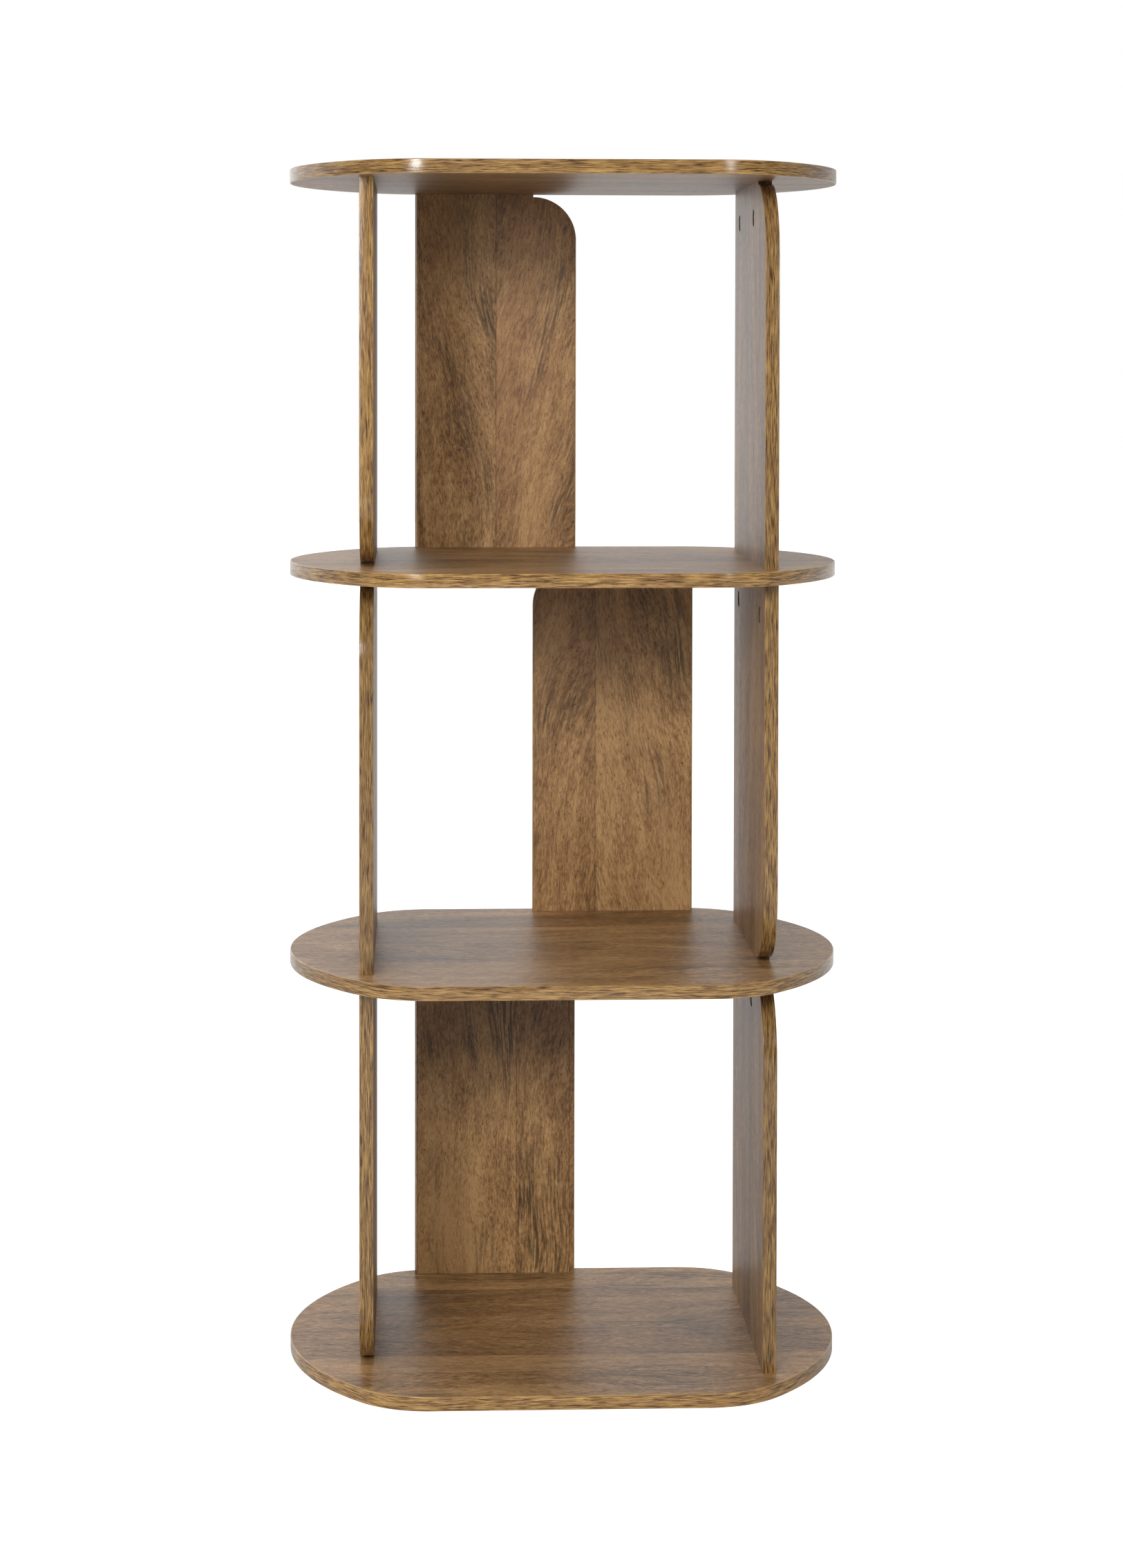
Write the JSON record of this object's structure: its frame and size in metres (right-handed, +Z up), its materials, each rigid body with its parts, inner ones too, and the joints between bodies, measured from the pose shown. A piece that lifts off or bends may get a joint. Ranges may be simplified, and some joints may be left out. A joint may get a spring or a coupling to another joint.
{
  "type": "shelving unit",
  "caption": "Free-standing tiered shelving unit of wood-effect boards: shelves with round ends on upright side and back panels that have one rounded corner each.",
  "frame": {"origin": "centre of the base shelf's underside, on the floor", "axes": "+Z up; the front of the unit faces -Y; +X to the viewer's right"},
  "size_m": [0.48, 0.38, 1.038],
  "materials": {
    "board_laminate": "satin melamine laminate with a brown rustic wood print",
    "edge_banding": "satin plastic edge banding with a streaky golden-brown oak print",
    "cam_zinc": "cast zinc, dull bright",
    "plated_steel": "zinc-plated steel",
    "dowel_wood": "bare beech"
  },
  "bodies": {
    "root": {"base_shelf": "board_laminate", "base_shelf_edge_band": "edge_banding", "lower_shelf": "board_laminate", "lower_shelf_edge_band": "edge_banding", "upper_shelf": "board_laminate", "upper_shelf_edge_band": "edge_banding", "top_shelf": "board_laminate", "top_shelf_edge_band": "edge_banding", "lower_left_panel": "board_laminate", "lower_left_panel_round_edge_band": "edge_banding", "lower_left_panel_straight_edge_band": "edge_banding", "lower_right_panel": "board_laminate", "lower_right_panel_round_edge_band": "edge_banding", "lower_right_panel_straight_edge_band": "edge_banding", "lower_back_panel": "board_laminate", "lower_back_panel_round_edge_band": "edge_banding", "lower_back_panel_straight_edge_band": "edge_banding", "lower_tier_cams": "cam_zinc", "lower_tier_cam_bolts": "plated_steel", "lower_tier_screws": "plated_steel", "lower_tier_dowels": "dowel_wood", "middle_left_panel": "board_laminate", "middle_left_panel_round_edge_band": "edge_banding", "middle_left_panel_straight_edge_band": "edge_banding", "middle_right_panel": "board_laminate", "middle_right_panel_round_edge_band": "edge_banding", "middle_right_panel_straight_edge_band": "edge_banding", "middle_back_panel": "board_laminate", "middle_back_panel_round_edge_band": "edge_banding", "middle_back_panel_straight_edge_band": "edge_banding", "middle_tier_cams": "cam_zinc", "middle_tier_cam_bolts": "plated_steel", "middle_tier_screws": "plated_steel", "middle_tier_dowels": "dowel_wood", "upper_left_panel": "board_laminate", "upper_left_panel_round_edge_band": "edge_banding", "upper_left_panel_straight_edge_band": "edge_banding", "upper_right_panel": "board_laminate", "upper_right_panel_round_edge_band": "edge_banding", "upper_right_panel_straight_edge_band": "edge_banding", "upper_back_panel": "board_laminate", "upper_back_panel_round_edge_band": "edge_banding", "upper_back_panel_straight_edge_band": "edge_banding", "upper_tier_cams": "cam_zinc", "upper_tier_cam_bolts": "plated_steel", "upper_tier_screws": "plated_steel", "upper_tier_dowels": "dowel_wood"}
  },
  "joints": []
}
